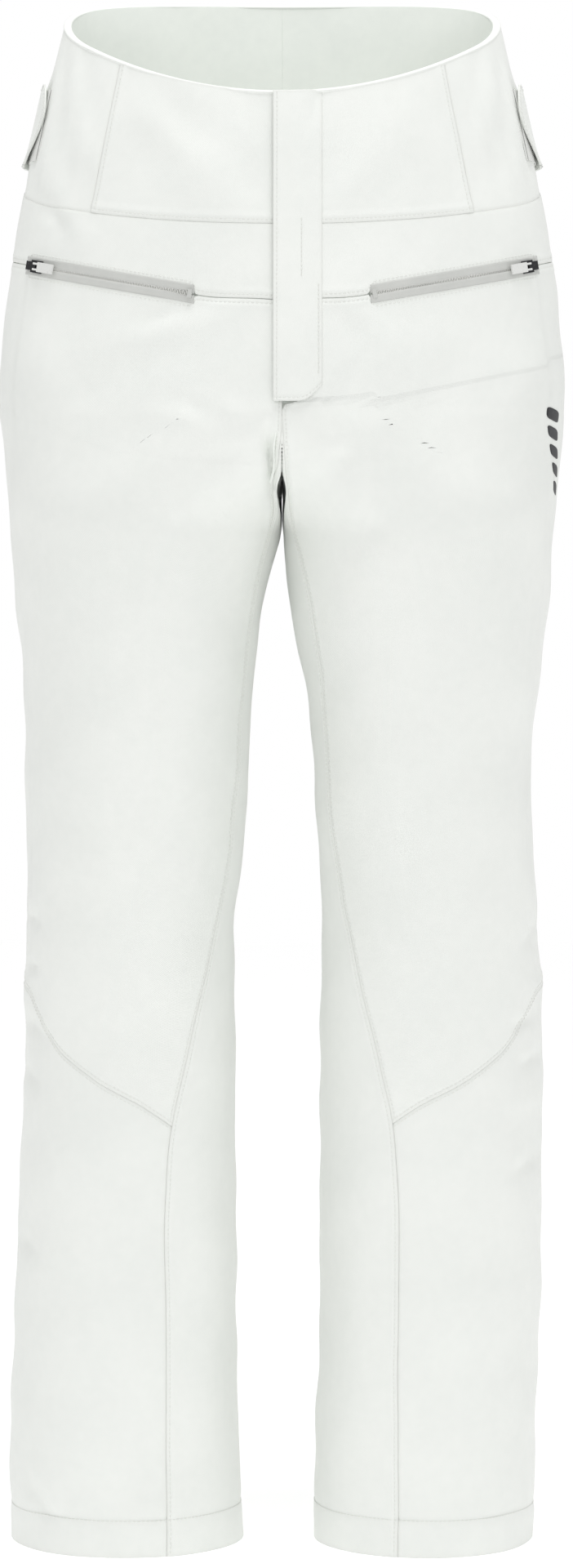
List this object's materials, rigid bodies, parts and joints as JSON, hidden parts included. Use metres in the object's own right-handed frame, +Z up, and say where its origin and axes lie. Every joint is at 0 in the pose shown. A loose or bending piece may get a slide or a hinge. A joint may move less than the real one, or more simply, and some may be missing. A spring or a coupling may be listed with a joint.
{
  "type": "ski pants",
  "caption": "Insulated white ski pants with an overlapped zip fly, waist tabs, slanted welded pocket zips, shaped knees and snow gaiters in straight hems.",
  "frame": {"origin": "middle of the waist opening, at the middle height of the sloping waist rim", "axes": "+Z up along the body, +X towards the wearer's left side, the front faces -Y"},
  "size_m": [0.394, 0.243, 1.082],
  "materials": {
    "shell_cloth": "soft white waterproof twill with white topstitching",
    "lining_cloth": "smooth pale taffeta",
    "zip_tape": "laminated grey zip tape",
    "zip_coil": "nylon coil",
    "slider_metal": "black enamelled zinc",
    "pull_plastic": "pale rubbery pull cap",
    "stop_plastic": "black moulded end stops",
    "snap_metal": "nickel plated steel",
    "hook_and_loop": "white hook and loop tape",
    "gripper_elastic": "elastic band with silicone",
    "gaiter_cloth": "light coated nylon"
  },
  "bodies": {
    "hips": {"front_panel_right": "shell_cloth", "front_yoke_right": "shell_cloth", "seat_panel_right": "shell_cloth", "inner_leg_panel_right": "shell_cloth", "lining_right": "lining_cloth", "side_gusset_right": "shell_cloth", "waistband_front_right": "shell_cloth", "pocket_tapes_right": "zip_tape", "pocket_coil_right": "zip_coil", "pocket_bag_right": "lining_cloth", "front_panel_left": "shell_cloth", "front_yoke_left": "shell_cloth", "seat_panel_left": "shell_cloth", "inner_leg_panel_left": "shell_cloth", "lining_left": "lining_cloth", "side_gusset_left": "shell_cloth", "waistband_front_left": "shell_cloth", "pocket_tapes_left": "zip_tape", "pocket_coil_left": "zip_coil", "pocket_bag_left": "lining_cloth", "waistband_back": "shell_cloth", "waistband_lining": "lining_cloth", "fly_tapes": "zip_tape", "fly_binding": "shell_cloth", "fly_coil": "zip_coil", "fly_guard": "shell_cloth", "fly_snap_studs": "snap_metal", "zip_stops": "stop_plastic", "loop_strips": "hook_and_loop"},
    "right_shin": {"knee_front_right": "shell_cloth", "knee_back_right": "shell_cloth", "shin_front_right": "shell_cloth", "shin_inner_right": "shell_cloth", "shin_back_right": "shell_cloth", "shin_lining_right": "lining_cloth", "hem_facing_right": "lining_cloth", "gaiter_right": "gaiter_cloth", "gaiter_gripper_right": "gripper_elastic", "boot_hook_right": "snap_metal"},
    "left_shin": {"knee_front_left": "shell_cloth", "knee_back_left": "shell_cloth", "shin_front_left": "shell_cloth", "shin_inner_left": "shell_cloth", "shin_back_left": "shell_cloth", "shin_lining_left": "lining_cloth", "hem_facing_left": "lining_cloth", "gaiter_left": "gaiter_cloth", "gaiter_gripper_left": "gripper_elastic", "boot_hook_left": "snap_metal"},
    "fly_flap": {"fly_flap": "shell_cloth", "fly_snap_sockets": "snap_metal"},
    "fly_slider": {"fly_slider": "slider_metal"},
    "right_pocket_slider": {"pocket_slider_right": "slider_metal"},
    "right_pocket_pull": {"pocket_pull_right": "pull_plastic"},
    "right_waist_tab": {"waist_tab_right": "shell_cloth", "hook_patch_right": "hook_and_loop"},
    "left_pocket_slider": {"pocket_slider_left": "slider_metal"},
    "left_pocket_pull": {"pocket_pull_left": "pull_plastic"},
    "left_waist_tab": {"waist_tab_left": "shell_cloth", "hook_patch_left": "hook_and_loop"}
  },
  "joints": [
    {"name": "right_knee", "type": "hinge", "parent": "hips", "child": "right_shin", "pos_m": [-0.1045, 0.01, -0.60696], "axis": [1, 0, 0], "range_deg": [0, 90], "deforming": ["knee_front_right", "knee_back_right"]},
    {"name": "left_knee", "type": "hinge", "parent": "hips", "child": "left_shin", "pos_m": [0.1045, 0.01, -0.60696], "axis": [1, 0, 0], "range_deg": [0, 90], "deforming": ["knee_front_left", "knee_back_left"]},
    {"name": "fly_flap", "type": "hinge", "parent": "hips", "child": "fly_flap", "pos_m": [0.027, -0.11421, -0.14503], "axis": [0, 0.0863, 0.9963], "range_deg": [0, 140]},
    {"name": "fly_zip", "type": "slide", "parent": "hips", "child": "fly_slider", "axis": [0, -0.0863, -0.9963], "range_m": [0, 0.085], "deforming": ["fly_coil"]},
    {"name": "right_pocket_zip", "type": "hinge", "parent": "hips", "child": "right_pocket_slider", "pos_m": [0.00702, 0.15297, -0.1665], "axis": [0.1639, -0.0902, 0.9823], "range_deg": [0, 24.5], "deforming": ["pocket_coil_right"]},
    {"name": "right_pocket_pull", "type": "hinge", "parent": "right_pocket_slider", "child": "right_pocket_pull", "pos_m": [-0.17034, -0.05345, -0.15586], "axis": [-0.1639, 0.0902, -0.9823], "range_deg": [0, 150]},
    {"name": "right_waist_tab", "type": "hinge", "parent": "hips", "child": "right_waist_tab", "pos_m": [-0.14189, 0.055, -0.0555], "axis": [-0.2335, 0, -0.9724], "range_deg": [0, 100]},
    {"name": "left_pocket_zip", "type": "hinge", "parent": "hips", "child": "left_pocket_slider", "pos_m": [-0.00702, 0.15297, -0.1665], "axis": [0.1639, 0.0902, -0.9823], "range_deg": [0, 24.5], "deforming": ["pocket_coil_left"]},
    {"name": "left_pocket_pull", "type": "hinge", "parent": "left_pocket_slider", "child": "left_pocket_pull", "pos_m": [0.17034, -0.05345, -0.15586], "axis": [-0.1639, -0.0902, 0.9823], "range_deg": [0, 150]},
    {"name": "left_waist_tab", "type": "hinge", "parent": "hips", "child": "left_waist_tab", "pos_m": [0.14189, 0.055, -0.0555], "axis": [-0.2335, 0, 0.9724], "range_deg": [0, 100]}
  ]
}
